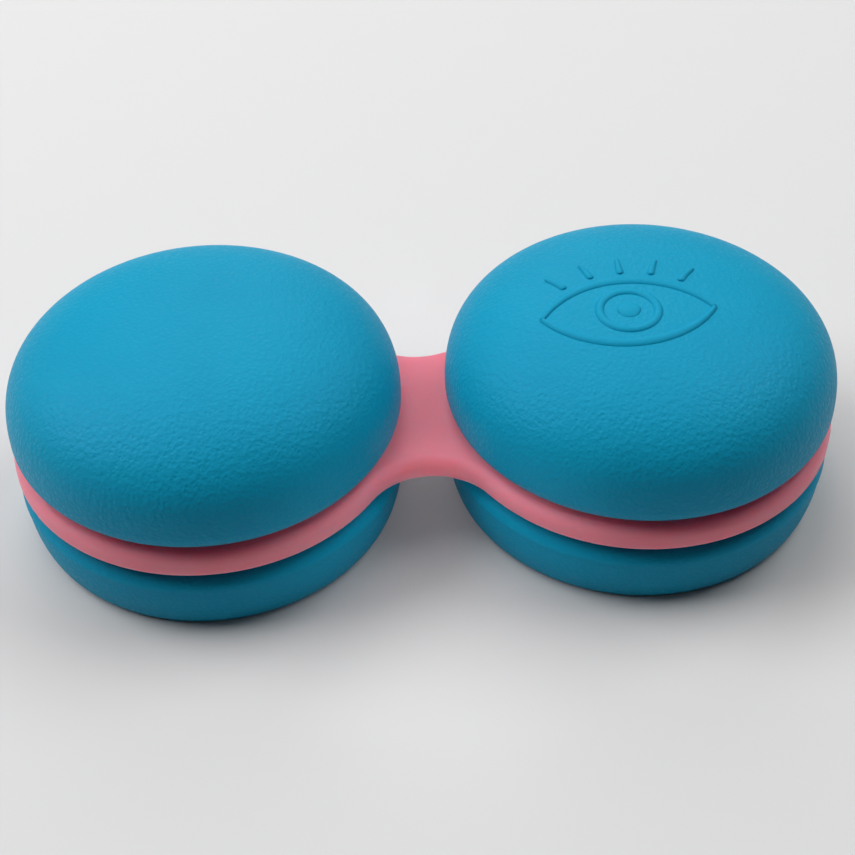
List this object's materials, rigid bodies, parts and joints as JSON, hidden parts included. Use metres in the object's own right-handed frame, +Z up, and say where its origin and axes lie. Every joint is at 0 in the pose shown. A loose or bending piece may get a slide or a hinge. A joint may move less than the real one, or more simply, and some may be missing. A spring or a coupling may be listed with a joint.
{
  "type": "contact lens case",
  "caption": "Screw-cap contact lens case: domed caps over two lens wells, joined by a waisted plate held between the caps and lower shells.",
  "frame": {"origin": "midway between the two wells, on the plane that the case stands on", "axes": "+X from the left well to the right well, +Y away from the front, +Z up"},
  "size_m": [0.0704, 0.0334, 0.0196],
  "materials": {
    "cap_blue": "fine spark-eroded matte grain",
    "base_blue": "fine matte",
    "closure_blue": "smooth satin, as moulded",
    "tray_pink": "smooth satin",
    "seal_silicone": "translucent silicone"
  },
  "bodies": {
    "tray": {"tray": "tray_pink", "left_base_shell": "base_blue", "right_base_shell": "base_blue"},
    "left_seal": {"left_seal": "seal_silicone"},
    "left_cap": {"left_cap_shell": "cap_blue", "left_closure": "closure_blue"},
    "right_seal": {"right_seal": "seal_silicone"},
    "right_cap": {"right_cap_shell": "cap_blue", "right_closure": "closure_blue"}
  },
  "joints": [
    {"name": "left_cap_lift", "type": "slide", "parent": "tray", "child": "left_seal", "axis": [0, 0, 1], "range_m": [0, 0.006]},
    {"name": "left_cap_turn", "type": "hinge", "parent": "left_seal", "child": "left_cap", "pos_m": [-0.0185, 0, 0.0091], "axis": [0, 0, 1], "range_deg": [0, 540]},
    {"name": "right_cap_lift", "type": "slide", "parent": "tray", "child": "right_seal", "axis": [0, 0, 1], "range_m": [0, 0.006]},
    {"name": "right_cap_turn", "type": "hinge", "parent": "right_seal", "child": "right_cap", "pos_m": [0.0185, 0, 0.0091], "axis": [0, 0, 1], "range_deg": [0, 540]}
  ],
  "couplings": [
    {"joint": "left_cap_lift", "follows": "left_cap_turn", "m_per_rad": 0.00063662},
    {"joint": "right_cap_lift", "follows": "right_cap_turn", "m_per_rad": 0.00063662}
  ]
}
